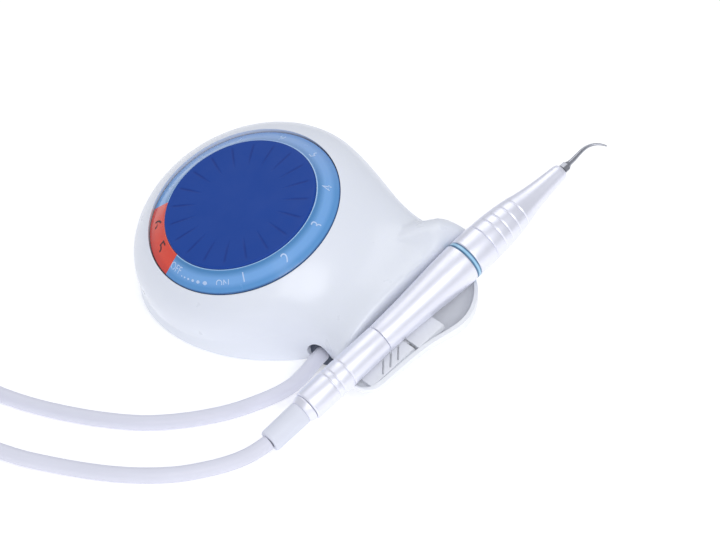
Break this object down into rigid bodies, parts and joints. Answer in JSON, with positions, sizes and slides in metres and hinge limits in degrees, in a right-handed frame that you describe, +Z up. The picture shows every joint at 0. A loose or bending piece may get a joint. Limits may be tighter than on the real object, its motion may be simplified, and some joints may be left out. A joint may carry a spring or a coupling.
{
  "type": "ultrasonic dental scaler",
  "caption": "Drop-shaped tabletop ultrasonic scaler with a tilted power dial, a cradle on its tail and a pen handpiece on a coiled hose.",
  "frame": {"origin": "on the table top, under the middle of the unit and its resting handpiece, hose left out", "axes": "+Z up; the user sits on the -Y side; the handpiece's cradle is on the +X side"},
  "size_m": [0.2076, 0.3572, 0.0746],
  "materials": {
    "white_shell": "gloss",
    "grey_shell": "satin",
    "feet_rubber": "matte",
    "plated_steel": "satin",
    "scale_plastic": "gloss",
    "red_plastic": "gloss",
    "blue_plastic": "gloss",
    "dark_plastic": "satin",
    "brass": "satin",
    "circuit_board": "satin",
    "copper_winding": "satin",
    "alloy": "satin",
    "valve_plastic": "satin",
    "clear_tube": "gloss",
    "hose_rubber": "satin",
    "handpiece_shell": "satin",
    "piezo_ceramic": "matte",
    "seal_rubber": "matte"
  },
  "bodies": {
    "base_unit": {"upper_housing": "white_shell", "base_plate": "grey_shell", "rubber_feet": "feet_rubber", "housing_screws": "plated_steel", "dial_well": "white_shell", "well_pillars": "grey_shell", "pot_bushing": "brass", "bushing_nut": "plated_steel", "potentiometer": "dark_plastic", "control_board": "circuit_board", "board_screws": "plated_steel", "output_transformer": "copper_winding", "heat_sink": "alloy", "capacitors": "dark_plastic", "water_valve": "valve_plastic", "valve_coil": "dark_plastic", "water_tubes": "clear_tube", "rear_panel": "grey_shell", "power_jack": "dark_plastic", "footswitch_jack": "dark_plastic", "water_inlet": "brass", "flow_valve": "brass", "hose_gland": "dark_plastic", "cradle_tray": "white_shell", "cradle_insert": "white_shell", "cradle_screws": "plated_steel", "hose_base_run": "hose_rubber", "hose_coil": "hose_rubber", "hose_hand_run": "hose_rubber", "coil_tie": "dark_plastic"},
    "dial": {"dial_ring": "scale_plastic", "red_zone": "red_plastic", "dial_disc": "blue_plastic", "dial_hub": "dark_plastic", "pot_shaft": "plated_steel"},
    "water_control": {"water_knob": "blue_plastic", "needle_stem": "plated_steel"},
    "connector": {"hose_boot": "hose_rubber", "boot_collar": "handpiece_shell", "connector_sleeve": "handpiece_shell", "connector_core": "dark_plastic", "contact_pins": "brass", "plug_seals": "seal_rubber"},
    "handpiece": {"barrel": "handpiece_shell", "light_ring": "scale_plastic", "front_sleeve": "handpiece_shell", "nose_cap": "handpiece_shell", "piezo_stack": "piezo_ceramic", "back_mass": "alloy", "horn": "alloy", "horn_seal": "seal_rubber"},
    "tip": {"tip_nut": "plated_steel", "scaler_tip": "plated_steel"}
  },
  "joints": [
    {"name": "dial_turn", "type": "hinge", "parent": "base_unit", "child": "dial", "pos_m": [-0.0245, -0.0315, 0.047], "axis": [0, -0.4067, 0.9135], "range_deg": [-300, 0]},
    {"name": "water_knob_turn", "type": "hinge", "parent": "base_unit", "child": "water_control", "pos_m": [-0.0115, 0.0185, 0.018], "axis": [0, 1, 0], "range_deg": [0, 270]},
    {"name": "handpiece_lift", "type": "slide", "parent": "base_unit", "child": "connector", "axis": [0, -0.3502, 0.9367], "range_m": [0, 0.12]},
    {"name": "handpiece_unplug", "type": "slide", "parent": "connector", "child": "handpiece", "axis": [0, 0.9367, 0.3502], "range_m": [0, 0.04]},
    {"name": "tip_unscrew", "type": "hinge", "parent": "handpiece", "child": "tip", "pos_m": [0.0655, 0.07837, 0.07003], "axis": [0, 0.9367, 0.3502], "range_deg": [0, 720]}
  ]
}
